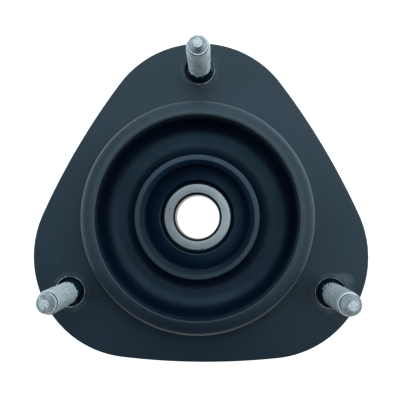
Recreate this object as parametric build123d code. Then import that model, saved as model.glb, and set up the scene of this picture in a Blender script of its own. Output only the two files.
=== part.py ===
from build123d import *
from math import atan2, cos, degrees, radians, sin
import os

# Upper strut mount. Lengths are in millimetres.
# The origin is on the damper's axis, level with the face that bolts against the suspension tower.
# +Z runs up through the tower, along the studs, and +Y points at the first stud.

# Bolt circle. Its centre lies off the damper's axis, towards +X.
stud_count = 3
first_stud_angle = 90.0
stud_margin = 16.2
bolt_circle_offset = 0.9

# Outline of the two pressed plates: three slightly bowed sides that run into three corner arcs.
corner_margin = 12.5
side_margin = 13.2
side_bow = 1.65
upper_sheet = 2.6
lower_sheet = 2.6
lower_plate_inset = 1.2
plate_edge_round = 0.7

# The two cups drawn in the plates, which close round the rubber.
cup_outer_radius = 51.3
rim_height = 9.5
rim_fall = 0.6
rim_lip_width = 4.3
rim_lip_round = 1.0
rim_bend = 0.5
cup_foot_bend = 1.6
lower_cup_depth = 21.0

# Studs, pressed into the lower plate from below and standing free in the upper one.
stud_height = 30.8
thread_radius = 4.95
stud_clearance_radius = 6.65
stud_hole_chamfer = 0.35
knurl_radius = 5.5
knurl_depth = 0.45
knurl_teeth = 24
knurl_clearance = 0.05
stud_head_radius = 8.5
stud_head_height = 3.2
stud_head_chamfer = 0.8
point_tip_radius = 1.85
point_foot_radius = 3.6
point_length = 2.4
land_radius = 4.2
land_length = 1.1
relief_radius = 3.95
relief_width = 0.5
thread_lead_radius = 4.35
thread_lead = 1.0

# Deep-groove ball bearing in the middle.
bearing_bore_radius = 10.0
bearing_width = 14.0
bearing_top = 1.5
inner_race_wall = 3.0
outer_race_wall = 2.5
inner_shoulder_height = 1.9
outer_shoulder_height = 1.8
bore_chamfer = 1.0
ring_corner_chamfer = 0.9
shoulder_chamfer = 0.3
ball_radius = 3.969
ball_count = 8
raceway_radius = 4.09
ball_clearance = 0.031

# Pressed two-part cage that spaces the balls, and its rivets.
cage_sheet = 0.8
cage_ring_clearance = 0.4
cage_ball_clearance = 0.15
rivet_radius = 0.8
rivet_hole_clearance = 0.05
rivet_head_radius = 1.4
rivet_head_height = 0.5

# Seals that snap into the bearing's outer ring.
seal_seat_step = 1.2
seal_seat_depth = 1.6
seal_thickness = 1.2
seal_sink = 0.3
seal_fit = 0.05
seal_lip_clearance = 0.1
seal_lip_thickness = 0.5
seal_lip_width = 1.1

# Pressed steel housing round the bearing, and the flanged ring that closes it from below.
housing_sheet = 1.8
housing_ledge = 6.6
housing_bend = 0.9
housing_skirt = 4.5
retainer_sheet = 1.6
retainer_ledge = 5.5
retainer_bend = 0.8
retainer_flange = 3.4
press_gap = 0.02

# Rubber between the shell and the housing.
bond_gap = 0.05
rubber_lining = 0.45
lining_round = 0.3
rubber_cover = 0.9
pad_slope = 0.25
ridge_rise = 4.75
ridge_cover = 1.65
ridge_top_width = 2.3
ridge_step_width = 1.8
ridge_step_drop = 2.7
ridge_step_draft = 0.2
ridge_round = 0.45
recess_foot_round = 0.7
ridge_draft = 0.8
groove_floor = -5.0
groove_outer_wall = 5.5
groove_draft = 0.6
groove_round = 4.9
web_thickness = 7.0
collar_wall = 5.0
lip_cover = 0.6
lower_groove_width = 7.2
lower_groove_round = 2.8
collar_step = 0.5
collar_round = 1.4
rubber_corner = 1.2

# Heights and radii that follow from the sizes above.
inner_race_radius = bearing_bore_radius + inner_race_wall
pitch_radius = inner_race_radius + ball_clearance + ball_radius
outer_race_radius = pitch_radius + ball_radius + ball_clearance
inner_shoulder_radius = inner_race_radius + inner_shoulder_height
outer_shoulder_radius = outer_race_radius - outer_shoulder_height
bearing_outer_radius = outer_race_radius + outer_race_wall
seal_seat_radius = outer_shoulder_radius + seal_seat_step
bearing_bottom = bearing_top - bearing_width
bearing_middle = bearing_top - bearing_width / 2
housing_hole_radius = bearing_outer_radius - housing_ledge
housing_inner_radius = bearing_outer_radius + press_gap
housing_outer_radius = housing_inner_radius + housing_sheet
housing_top = bearing_top + press_gap + housing_sheet
housing_bottom = bearing_bottom - housing_skirt
collar_inner_radius = housing_outer_radius + bond_gap
collar_outer_radius = collar_inner_radius + collar_wall
pad_top = housing_top + bond_gap + rubber_cover
ridge_top = pad_top + ridge_rise
ridge_outer_radius = housing_outer_radius + ridge_cover
ridge_inner_radius = ridge_outer_radius - ridge_top_width
ridge_step_radius = ridge_inner_radius - ridge_step_width
cup_inner_radius = cup_outer_radius - upper_sheet
groove_outer_radius = cup_inner_radius - groove_outer_wall
rim_lip_radius = cup_inner_radius - rim_lip_width
lower_groove_radius = collar_outer_radius + lower_groove_width
lower_lip_radius = lower_groove_radius - lip_cover
lower_cup_outer_radius = cup_inner_radius + lower_sheet
lower_plate_top = -upper_sheet
lower_plate_bottom = -upper_sheet - lower_sheet
bolt_circle_radius = cup_outer_radius + stud_margin


def turned(*corners):
    """Solid turned about Z from corners of (radius, height) or (radius, height, corner rounding)."""
    points = [corner[:2] for corner in corners]
    roundings = [corner[2] if len(corner) > 2 else 0.0 for corner in corners]
    outline = FilletPolyline(*points, radius=roundings, close=True)
    return revolve(Plane.XZ * make_face(outline), Axis.Z)


def pressed_sheet(path, inner_bends, thickness, edge_round=0.0):
    """Sheet turned about Z. The path is the middle line, and its last end may have rounded edges."""
    middle_bends = [bend + thickness / 2 for bend in inner_bends]
    section = trace(FilletPolyline(*path, radius=middle_bends), thickness)
    if edge_round > 0:
        end = Vector(*path[-1])
        edge = section.vertices().sort_by_distance(end)[:2]
        section = fillet(edge, edge_round)
    return revolve(Plane.XZ * section, Axis.Z)


def polar(radius, angle):
    """Point at this distance from the plate's centre, at an angle in degrees."""
    return Vector(radius * cos(radians(angle)), radius * sin(radians(angle)))


def plate_outline(inset=0.0):
    """Rounded shape with a corner at each stud and bowed sides, centred on the bolt circle."""
    half_turn = 180.0 / stud_count
    slant = cos(radians(half_turn))
    side = cup_outer_radius + side_margin
    apex = bolt_circle_radius + corner_margin
    corner = (side - side_bow - apex * slant) / (1 - slant)
    centre = apex - corner
    side_arc = (side**2 + centre**2 - corner**2 - 2 * centre * side * slant) / (2 * side_bow)
    arc_centre = polar(side - side_arc, half_turn)
    spread = degrees(atan2(-arc_centre.Y, centre - arc_centre.X))
    edges = []
    for index in range(stud_count):
        angle = first_stud_angle + 2 * half_turn * index
        next_angle = angle + 2 * half_turn
        start = polar(centre, angle) + polar(corner - inset, angle - spread)
        end = polar(centre, angle) + polar(corner - inset, angle + spread)
        next_start = polar(centre, next_angle) + polar(corner - inset, next_angle - spread)
        edges.append(ThreePointArc(start, polar(apex - inset, angle), end))
        edges.append(ThreePointArc(end, polar(side - inset, angle + half_turn), next_start))
    return Pos(bolt_circle_offset, 0) * make_face(edges)


def at_studs(height=0.0):
    """Places on the strut mount's bolt circle, at one height."""
    circle = PolarLocations(bolt_circle_radius, stud_count, first_stud_angle)
    return [Pos(bolt_circle_offset, 0, height) * place for place in circle]


def upper_plate():
    """Top pressing: the triangular plate and the raised cup, whose lip rises inwards over the rubber."""
    wall = cup_inner_radius + upper_sheet / 2
    foot = cup_outer_radius + cup_foot_bend + upper_sheet
    plate = extrude(plate_outline(), -upper_sheet)
    plate = fillet(plate.edges().group_by(Axis.Z)[-1], plate_edge_round)
    plate -= Pos(0, 0, -upper_sheet / 2) * Cylinder(foot, 2 * upper_sheet)
    middle = -upper_sheet / 2
    lip_middle = rim_height - upper_sheet / 2
    rim_corner = (wall, lip_middle - rim_fall)
    path = [(foot, middle), (wall, middle), rim_corner, (rim_lip_radius, lip_middle)]
    cup = pressed_sheet(path, [cup_foot_bend, rim_bend], upper_sheet, rim_lip_round)
    plate += cup
    drill_top = stud_clearance_radius + stud_hole_chamfer
    for place in at_studs():
        plate -= place * Cylinder(stud_clearance_radius, 4 * upper_sheet)
        countersink = Cone(stud_clearance_radius, drill_top, stud_hole_chamfer)
        plate -= place * Pos(0, 0, -stud_hole_chamfer / 2) * countersink
    return plate


def lower_plate():
    """Bottom pressing: the same triangle a little smaller, with the cup drawn downwards."""
    wall = cup_inner_radius + lower_sheet / 2
    foot = lower_cup_outer_radius + cup_foot_bend + lower_sheet
    plate = Pos(0, 0, lower_plate_top) * extrude(plate_outline(lower_plate_inset), -lower_sheet)
    plate = fillet(plate.edges().group_by(Axis.Z)[0], plate_edge_round)
    middle = lower_plate_top - lower_sheet / 2
    plate -= Pos(0, 0, middle) * Cylinder(foot, 2 * lower_sheet)
    lip_middle = -lower_cup_depth + lower_sheet / 2
    path = [(foot, middle), (wall, middle), (wall, lip_middle), (lower_lip_radius, lip_middle)]
    cup = pressed_sheet(path, [cup_foot_bend, rim_bend], lower_sheet, rim_lip_round)
    plate += cup
    for place in at_studs(middle):
        plate -= place * Cylinder(knurl_radius + knurl_clearance, 2 * lower_sheet)
    return plate


def stud():
    """Stud with a round head, a knurled shoulder, a land and a cone. The thread is left plain."""
    shoulder_top = lower_plate_top - knurl_clearance
    point_bottom = stud_height - point_length
    relief_top = point_bottom - land_length
    relief_bottom = relief_top - relief_width
    head_bottom = lower_plate_bottom - stud_head_height
    shank = turned(
        (0, head_bottom),
        (stud_head_radius - stud_head_chamfer, head_bottom),
        (stud_head_radius, head_bottom + stud_head_chamfer),
        (stud_head_radius, lower_plate_bottom),
        (thread_radius, lower_plate_bottom),
        (thread_radius, relief_bottom - thread_lead),
        (thread_lead_radius, relief_bottom),
        (relief_radius, relief_bottom),
        (relief_radius, relief_top),
        (land_radius, relief_top),
        (land_radius, point_bottom),
        (point_foot_radius, point_bottom),
        (point_tip_radius, stud_height),
        (0, stud_height),
    )
    rim = []
    for index in range(2 * knurl_teeth):
        radius = knurl_radius - knurl_depth * (index % 2)
        rim.append(polar(radius, 180.0 / knurl_teeth * index))
    knurl = extrude(make_face(Polyline(*rim, close=True)), shoulder_top - lower_plate_bottom)
    return shank + Pos(0, 0, lower_plate_bottom) * knurl


def bearing_housing():
    """Steel cup pressed down over the bearing, open in the middle of its top."""
    wall = housing_inner_radius + housing_sheet / 2
    top = housing_top - housing_sheet / 2
    path = [(housing_hole_radius, top), (wall, top), (wall, housing_bottom)]
    return pressed_sheet(path, [housing_bend], housing_sheet)


def bearing_retainer():
    """Flanged ring pressed up inside the housing's skirt, which holds the bearing in."""
    hole = bearing_outer_radius - retainer_ledge
    wall = bearing_outer_radius - retainer_sheet / 2
    top = bearing_bottom - press_gap - retainer_sheet / 2
    path = [(hole, top), (wall, top), (wall, top - retainer_flange)]
    return pressed_sheet(path, [retainer_bend], retainer_sheet)


def rubber_isolator():
    """Moulded rubber ring: lined pad and ridge round the bearing, deep groove, and thick outer wall."""
    shell = cup_inner_radius - bond_gap
    under_rim = rim_height - upper_sheet - bond_gap
    rim_slope = rim_fall / (cup_inner_radius + upper_sheet / 2 - rim_lip_radius)
    under_bend = under_rim - rim_slope * (shell - rim_lip_radius)
    over_lip = -lower_cup_depth + lower_sheet + bond_gap
    lining_hole = housing_hole_radius - bond_gap
    housing_round = housing_bend + housing_sheet + bond_gap
    web_bottom = groove_floor - web_thickness
    collar_bottom = housing_bottom + collar_step
    return turned(
        (lining_hole - rubber_lining, pad_top, lining_round),
        (ridge_step_radius, pad_top - pad_slope, recess_foot_round),
        (ridge_step_radius + ridge_step_draft, ridge_top - ridge_step_drop, ridge_round),
        (ridge_inner_radius, ridge_top, ridge_round),
        (ridge_outer_radius, ridge_top, ridge_round),
        (ridge_outer_radius + ridge_draft, groove_floor, groove_round),
        (groove_outer_radius, groove_floor, groove_round),
        (groove_outer_radius + groove_draft, under_rim, ridge_round),
        (shell, under_bend, rubber_corner),
        (shell, over_lip, rubber_corner),
        (lower_groove_radius, over_lip, ridge_round),
        (lower_groove_radius, web_bottom, lower_groove_round),
        (collar_outer_radius, web_bottom, lower_groove_round),
        (collar_outer_radius, collar_bottom, collar_round),
        (collar_inner_radius, collar_bottom),
        (collar_inner_radius, housing_top + bond_gap, housing_round),
        (lining_hole, housing_top + bond_gap),
        (lining_hole, bearing_top + press_gap),
        (lining_hole - rubber_lining, bearing_top + press_gap),
    )


def inner_ring():
    """Bearing ring that turns with the damper's rod."""
    shoulder = inner_shoulder_radius
    ring = turned(
        (bearing_bore_radius, bearing_bottom + bore_chamfer),
        (bearing_bore_radius + bore_chamfer, bearing_bottom),
        (shoulder - shoulder_chamfer, bearing_bottom),
        (shoulder, bearing_bottom + shoulder_chamfer),
        (shoulder, bearing_top - shoulder_chamfer),
        (shoulder - shoulder_chamfer, bearing_top),
        (bearing_bore_radius + bore_chamfer, bearing_top),
        (bearing_bore_radius, bearing_top - bore_chamfer),
    )
    raceway_centre = inner_race_radius + raceway_radius
    return ring - Pos(0, 0, bearing_middle) * Torus(raceway_centre, raceway_radius)


def outer_ring():
    """Bearing ring that stays still in the housing, with a seat for a seal at each face."""
    ring = turned(
        (outer_shoulder_radius, bearing_bottom + seal_seat_depth),
        (seal_seat_radius, bearing_bottom + seal_seat_depth),
        (seal_seat_radius, bearing_bottom),
        (bearing_outer_radius - ring_corner_chamfer, bearing_bottom),
        (bearing_outer_radius, bearing_bottom + ring_corner_chamfer),
        (bearing_outer_radius, bearing_top - ring_corner_chamfer),
        (bearing_outer_radius - ring_corner_chamfer, bearing_top),
        (seal_seat_radius, bearing_top),
        (seal_seat_radius, bearing_top - seal_seat_depth),
        (outer_shoulder_radius, bearing_top - seal_seat_depth),
    )
    raceway_centre = outer_race_radius - raceway_radius
    return ring - Pos(0, 0, bearing_middle) * Torus(raceway_centre, raceway_radius)


def seal():
    """Sealing washer for the bearing's top face, with a thin lip that reaches to the inner ring."""
    top = bearing_top - seal_sink
    lip = inner_shoulder_radius + seal_lip_clearance
    return turned(
        (lip, top - seal_lip_thickness),
        (lip, top),
        (lip + seal_lip_width / 2, top),
        (lip + seal_lip_width, top - seal_sink),
        (seal_seat_radius - seal_fit - seal_sink, top - seal_sink),
        (seal_seat_radius - seal_fit, top - 2 * seal_sink),
        (seal_seat_radius - seal_fit, top - seal_thickness),
        (lip + seal_lip_width, top - seal_thickness),
    )


def at_balls(offset=0.0):
    """Places on the ball circle. An offset of a half gives the gaps between the balls."""
    pitch = 360.0 / ball_count
    circle = PolarLocations(pitch_radius, ball_count, pitch * offset)
    return [Pos(0, 0, bearing_middle) * place for place in circle]


def cage_half():
    """Upper half of the cage: flat webs between spherical pockets, holed for the rivets."""
    pocket = ball_radius + cage_ball_clearance
    inner = inner_shoulder_radius + cage_ring_clearance
    outer = outer_shoulder_radius - cage_ring_clearance
    height = pocket + cage_sheet
    flat = turned((inner, 0), (outer, 0), (outer, cage_sheet), (inner, cage_sheet))
    band = turned((inner, 0), (outer, 0), (outer, height), (inner, height))
    balls = PolarLocations(pitch_radius, ball_count)
    domes = Part() + [place * Sphere(pocket + cage_sheet) for place in balls]
    half = flat + (domes & band)
    half -= [place * Sphere(pocket) for place in balls]
    gaps = PolarLocations(pitch_radius, ball_count, 180.0 / ball_count)
    hole = rivet_radius + rivet_hole_clearance
    return half - [place * Cylinder(hole, 4 * cage_sheet) for place in gaps]


def rivet():
    """Rivet through both cage halves, with a low domed head at each end."""
    return turned(
        (0, -cage_sheet - rivet_head_height),
        (rivet_head_radius / 2, -cage_sheet - rivet_head_height),
        (rivet_head_radius, -cage_sheet),
        (rivet_radius, -cage_sheet),
        (rivet_radius, cage_sheet),
        (rivet_head_radius, cage_sheet),
        (rivet_head_radius / 2, cage_sheet + rivet_head_height),
        (0, cage_sheet + rivet_head_height),
    )


def mirrored(shape, height):
    """The same piece turned over about a level plane at this height."""
    return mirror(shape, Plane.XY.offset(height))


def save(name, shape):
    """Writes one named piece."""
    export_step(shape, f"parts/{name}.step")


os.makedirs("parts", exist_ok=True)
save("upper_plate", upper_plate())
save("lower_plate", lower_plate())
for number, place in enumerate(at_studs(), start=1):
    save(f"stud_{number}", place * stud())
save("rubber_isolator", rubber_isolator())
save("bearing_housing", bearing_housing())
save("bearing_retainer", bearing_retainer())
save("bearing_outer_ring", outer_ring())
save("bearing_inner_ring", inner_ring())
save("upper_seal", seal())
save("lower_seal", mirrored(seal(), bearing_middle))
for number, place in enumerate(at_balls(), start=1):
    save(f"ball_{number}", place * Sphere(ball_radius))
cage_top = Pos(0, 0, bearing_middle) * cage_half()
save("cage_upper_half", cage_top)
save("cage_lower_half", mirrored(cage_top, bearing_middle))
save("cage_rivets", Compound([place * rivet() for place in at_balls(0.5)]))
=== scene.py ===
import bmesh
import bpy
from math import acos, atan2, ceil, cos, degrees, pi, radians, sin, tan
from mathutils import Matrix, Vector


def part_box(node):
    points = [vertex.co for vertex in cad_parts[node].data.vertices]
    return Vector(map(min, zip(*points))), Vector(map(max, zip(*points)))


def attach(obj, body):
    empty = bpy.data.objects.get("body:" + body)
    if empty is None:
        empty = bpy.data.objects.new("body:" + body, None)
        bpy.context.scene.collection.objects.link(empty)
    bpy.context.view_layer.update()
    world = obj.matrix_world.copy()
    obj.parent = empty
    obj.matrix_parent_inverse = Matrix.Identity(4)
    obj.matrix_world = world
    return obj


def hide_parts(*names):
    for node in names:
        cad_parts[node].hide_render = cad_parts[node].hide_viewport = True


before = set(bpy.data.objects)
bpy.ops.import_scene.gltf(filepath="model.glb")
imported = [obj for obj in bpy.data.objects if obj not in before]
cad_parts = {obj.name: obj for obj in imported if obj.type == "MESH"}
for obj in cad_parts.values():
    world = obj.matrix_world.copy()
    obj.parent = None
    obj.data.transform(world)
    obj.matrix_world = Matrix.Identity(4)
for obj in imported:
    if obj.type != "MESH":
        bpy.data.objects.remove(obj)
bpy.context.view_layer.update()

# Pieces are modelled in millimetres and brought to metres when they are finished.
METRE = 0.001
WELD = 0.005
FULL_TURN = 2 * pi

# Steps of what is spun, and degrees of a rounded corner that one segment covers.
PLATE_STEPS = 192
RING_STEPS = 160
SEAL_STEPS = 128
STUD_STEPS = 96
HOLE_STEPS = 72
THREAD_STEPS = 48
CORNER_STEPS = 40
SIDE_STEPS = 24
RACEWAY_STEPS = 16
CORNER_SEGMENT = 11
SMOOTH_ANGLE = 35
STUD_SMOOTH_ANGLE = 30

# Bolt circle and outline of the two pressings.
stud_count = 3
first_stud_angle = 90.0
stud_margin = 16.2
bolt_circle_offset = 0.9
corner_margin = 12.5
side_margin = 13.2
side_bow = 1.65
lower_plate_inset = 1.2
sheet = 2.6
plate_edge_round = 0.7
sheared_edge_round = 0.2
flange_margin = 1.0
stud_hole_radius = 6.65
stud_hole_chamfer = 0.35

# Cups that close round the rubber.
cup_outer_radius = 51.3
cup_foot_bend = 1.6
rim_bend = 0.5
rim_height = 9.5
rim_lip_width = 4.3
rim_lip_round = 1.0
rim_fall = 0.6
lower_cup_depth = 21.0

# Studs.
stud_height = 30.8
thread_radius = 4.95
thread_root_radius = 4.2
thread_pitch = 1.25
thread_crest = 0.16
thread_root_land = 0.21
thread_overlap = 0.1
knurl_radius = 5.5
knurl_depth = 0.45
knurl_teeth = 24
knurl_clearance = 0.05
stud_head_radius = 8.5
stud_head_height = 3.2
stud_head_chamfer = 0.8
stud_head_round = 0.3
point_tip_radius = 1.85
point_tip_round = 0.15
point_foot_radius = 3.6
point_length = 2.4
land_radius = 4.2
land_length = 1.1
land_round = 0.12
relief_radius = 3.95
relief_width = 0.5
thread_lead_radius = 4.35
thread_lead = 1.0

# Bearing.
bearing_bore_radius = 10.0
bearing_width = 14.0
bearing_top = 1.5
inner_race_wall = 3.0
outer_race_wall = 2.5
inner_shoulder_height = 1.9
outer_shoulder_height = 1.8
bore_chamfer = 1.0
bore_chamfer_round = 0.12
ring_corner_chamfer = 0.9
shoulder_round = 0.3
ball_radius = 3.969
ball_clearance = 0.031
raceway_radius = 4.09
seal_seat_step = 1.2
seal_seat_depth = 1.6
seal_thickness = 1.2
seal_sink = 0.3
seal_fit = 0.05
seal_edge_round = 0.15
seal_rim_round = 0.3
seal_lip_clearance = 0.1
seal_lip_thickness = 0.5
seal_lip_width = 1.1
seal_lip_round = 0.12

# Housing round the bearing and the ring that closes it.
housing_sheet = 1.8
housing_ledge = 6.6
housing_bend = 0.9
housing_skirt = 4.5
retainer_sheet = 1.6
retainer_ledge = 5.5
retainer_bend = 0.8
retainer_flange = 3.4
hole_edge_round = 0.2
skirt_edge_round = 0.3
press_gap = 0.02

# Rubber.
bond_gap = 0.05
rubber_lining = 0.45
lining_round = 0.3
rubber_cover = 0.9
pad_slope = 0.25
ridge_rise = 4.75
ridge_cover = 1.65
ridge_top_width = 2.3
ridge_step_width = 1.8
ridge_step_drop = 2.7
ridge_step_draft = 0.2
ridge_round = 0.45
recess_foot_round = 0.7
ridge_draft = 0.8
groove_floor = -5.0
groove_outer_wall = 5.5
groove_draft = 0.6
groove_round = 4.9
web_thickness = 7.0
collar_wall = 5.0
collar_step = 0.5
collar_round = 1.4
lip_cover = 0.6
lower_groove_width = 7.2
lower_groove_round = 2.8
rubber_corner = 1.2

# Worked out from the sizes above.
bolt_circle_radius = cup_outer_radius + stud_margin
plate_apex = bolt_circle_radius + corner_margin
plate_side = cup_outer_radius + side_margin
flange_underside = -2 * sheet
cup_foot_radius = cup_outer_radius + cup_foot_bend + sheet
cup_inner_radius = cup_outer_radius - sheet
outer_rim_bend = rim_bend + sheet
rim_lip_radius = cup_inner_radius - rim_lip_width
knurl_top = -sheet - knurl_clearance
point_bottom = stud_height - point_length
thread_top = point_bottom - land_length - relief_width
inner_race_radius = bearing_bore_radius + inner_race_wall
outer_race_radius = inner_race_radius + 2 * (ball_radius + ball_clearance)
inner_shoulder_radius = inner_race_radius + inner_shoulder_height
outer_shoulder_radius = outer_race_radius - outer_shoulder_height
bearing_outer_radius = outer_race_radius + outer_race_wall
seal_seat_radius = outer_shoulder_radius + seal_seat_step
bearing_bottom = bearing_top - bearing_width
bearing_middle = bearing_top - bearing_width / 2
housing_hole_radius = bearing_outer_radius - housing_ledge
housing_inner_radius = bearing_outer_radius + press_gap
housing_outer_radius = housing_inner_radius + housing_sheet
housing_top = bearing_top + press_gap + housing_sheet
housing_bottom = bearing_bottom - housing_skirt
retainer_hole_radius = bearing_outer_radius - retainer_ledge
collar_inner_radius = housing_outer_radius + bond_gap
collar_outer_radius = collar_inner_radius + collar_wall
collar_bottom = housing_bottom + collar_step
pad_top = housing_top + bond_gap + rubber_cover
ridge_top = pad_top + ridge_rise
ridge_outer_radius = housing_outer_radius + ridge_cover
ridge_inner_radius = ridge_outer_radius - ridge_top_width
ridge_step_radius = ridge_inner_radius - ridge_step_width
groove_outer_radius = cup_inner_radius - groove_outer_wall
web_bottom = groove_floor - web_thickness
lower_groove_radius = collar_outer_radius + lower_groove_width
lower_lip_radius = lower_groove_radius - lip_cover

# Marks of use and painted highlights, in plan: x, y, size, softness and strength. Scuffs on the paint come
# first, then paint chipped down to the primer with painted highlights at the back hole's edge, then the x
# and y of pits in the bearing ring's face and of one in a stud's end.
scuffs = (
    (62.3, -26.4, 0.6, 1.8, 0.50),
    (64.9, -26.9, 1.2, 2.0, 0.60),
    (67.2, -27.6, 1.4, 1.7, 0.62),
    (67.6, -30.6, 0.8, 2.4, 0.36),
    (53.2, -37.6, 0.8, 1.4, 0.30),
    (55.4, -40.0, 0.8, 1.4, 0.36),
    (58.6, -41.6, 0.8, 1.4, 0.32),
    (-65.6, -32.4, 0.9, 1.0, 0.30),
    (-63.5, -29.0, 0.7, 1.0, 0.35),
    (-51.3, -38.4, 0.9, 1.0, 0.30),
    (-54.7, -41.0, 1.3, 1.4, 0.25),
    (-63.1, -20.8, 0.2, 0.25, 0.90),
    (-19.9, 43.6, 0.2, 0.25, 0.90),
    (-27.0, 42.2, 0.2, 0.25, 0.70),
    (-33.3, 39.0, 0.2, 0.25, 0.70),
    (-35.6, 32.4, 0.2, 0.25, 0.70),
)
chips_and_hole_highlights = (
    (-59.5, -27.0, 0.24, 0.25, 0.9),
    (-61.4, -27.9, 0.15, 0.25, 0.4),
    # Paint chipped at the back hole's right edge, brightened as painted highlight.
    (7.7, 67.3, 0.25, 0.35, 0.7),
    (7.4, 66.4, 0.3, 0.35, 0.7),
    (7.0, 65.4, 0.3, 0.3, 0.6),
    (6.4, 64.4, 0.15, 0.3, 0.6),
)
ring_pits = ((-12.3, 3.4), (2.2, -14.1))
stud_pit = (-57.2, -35.0)

# Scrapes in the paint over the teeth of the right stud, which start at this angle.
scraped_teeth = 6
first_scrape_angle = 73
scrape_radius = 5.0
scrape_height = 2.6


# Camera and light. Bearings are seen from above, in degrees from the right.
RIGHT = 0
BACK = 90
LEFT = 180
FRONT = 270
FRAME_SIDE = 400
CAMERA_FOCAL = 443.44
CAMERA_PLACE = (6.155, -1.96, 200.0)
CAMERA_TILT = (0.0481, 0.0251, 0.0)
FLOOR_SIZE = 6000
FLOOR_GAP = 0.05
SOFTBOX_DISTANCE = 700
SOFTBOX_SIDE = 500
LOW_ELEVATION = 22
HIGH_ELEVATION = 58
LIGHT_TINT = (0.84, 1.03, 1.13)

# Name, bearing, elevation and brightness of each softbox.
softboxes = (
    ("right_high", RIGHT, HIGH_ELEVATION, 0.90),
    ("back_high", BACK, HIGH_ELEVATION, 1.40),
    ("left_high", LEFT, HIGH_ELEVATION, 0.41),
    ("right_low", RIGHT, LOW_ELEVATION, 1.42),
    ("back_right_low", (RIGHT + BACK) / 2, LOW_ELEVATION, 1.49),
    ("back_low", BACK, LOW_ELEVATION, 0.95),
    ("back_left_low", (BACK + LEFT) / 2, LOW_ELEVATION, 0.60),
    ("left_low", LEFT, LOW_ELEVATION, 1.37),
)


def add_camera():
    """Camera above the mount, looking down along the studs as the photograph does."""
    clear_selection()
    bpy.ops.object.camera_add(location=Vector(CAMERA_PLACE) * METRE)
    camera = bpy.context.object
    camera.rotation_mode = "ZYX"
    camera.rotation_euler = CAMERA_TILT
    camera.data.sensor_fit = "HORIZONTAL"
    camera.data.lens = camera.data.sensor_width * CAMERA_FOCAL / FRAME_SIDE
    camera.data.clip_start = 0.01
    bpy.context.scene.camera = camera


def glowing_white(name, glow, **settings):
    """White that glows by itself and isn't sampled as a light."""
    white = Finish(name, Emission_Color=(1, 1, 1), Emission_Strength=glow, **settings)
    white.material.cycles.emission_sampling = "NONE"
    return white.material


def add_floor(glow):
    """White sweep under the mount, which glows enough to leave no shadow."""
    clear_selection()
    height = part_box("lower_plate")[0].z - FLOOR_GAP * METRE
    bpy.ops.mesh.primitive_plane_add(size=FLOOR_SIZE * METRE, location=(0, 0, height))
    floor = bpy.context.object
    floor.name = "floor"
    white = glowing_white("floor_white", glow, Base_Color=(0.8, 0.8, 0.8), Roughness=0.9)
    floor.data.materials.append(white)


def add_backdrop(glow):
    """Pale dome round the studio, which is seen behind the mount and lights nothing."""
    clear_selection()
    bpy.ops.mesh.primitive_uv_sphere_add(segments=48, ring_count=24, radius=FLOOR_SIZE / 2 * METRE)
    dome = bpy.context.object
    dome.name = "backdrop"
    pale = glowing_white("backdrop_white", glow, Base_Color=(0, 0, 0), Roughness=1.0,
                         Specular_IOR_Level=0.0)
    dome.data.materials.append(pale)
    for ray in ("diffuse", "glossy", "transmission", "volume_scatter", "shadow"):
        setattr(dome, f"visible_{ray}", False)


def add_softbox(name, azimuth, elevation, radiance):
    """Square soft light at this bearing from the mount, aimed at it."""
    clear_selection()
    turn = radians(azimuth)
    rise = radians(elevation)
    towards = Vector((cos(turn) * cos(rise), sin(turn) * cos(rise), sin(rise)))
    bpy.ops.object.light_add(type="AREA", location=towards * SOFTBOX_DISTANCE * METRE)
    light = bpy.context.object
    light.name = name
    light.rotation_euler = towards.to_track_quat("Z", "Y").to_euler()
    side = SOFTBOX_SIDE * METRE
    light.data.shape = "SQUARE"
    light.data.size = side
    light.data.energy = radiance * pi * side * side
    light.data.color = LIGHT_TINT
    light.visible_camera = False


def darken_room():
    """Leaves the softboxes as the only light, in a world of their tint."""
    world = bpy.data.worlds.new("studio")
    world.use_nodes = True
    background = world.node_tree.nodes["Background"]
    background.inputs["Color"].default_value = (*LIGHT_TINT, 1)
    background.inputs["Strength"].default_value = 0.0
    bpy.context.scene.world = world


# Finishes. Patterns read the place on the piece, in millimetres, and colours are in linear light.

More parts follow.
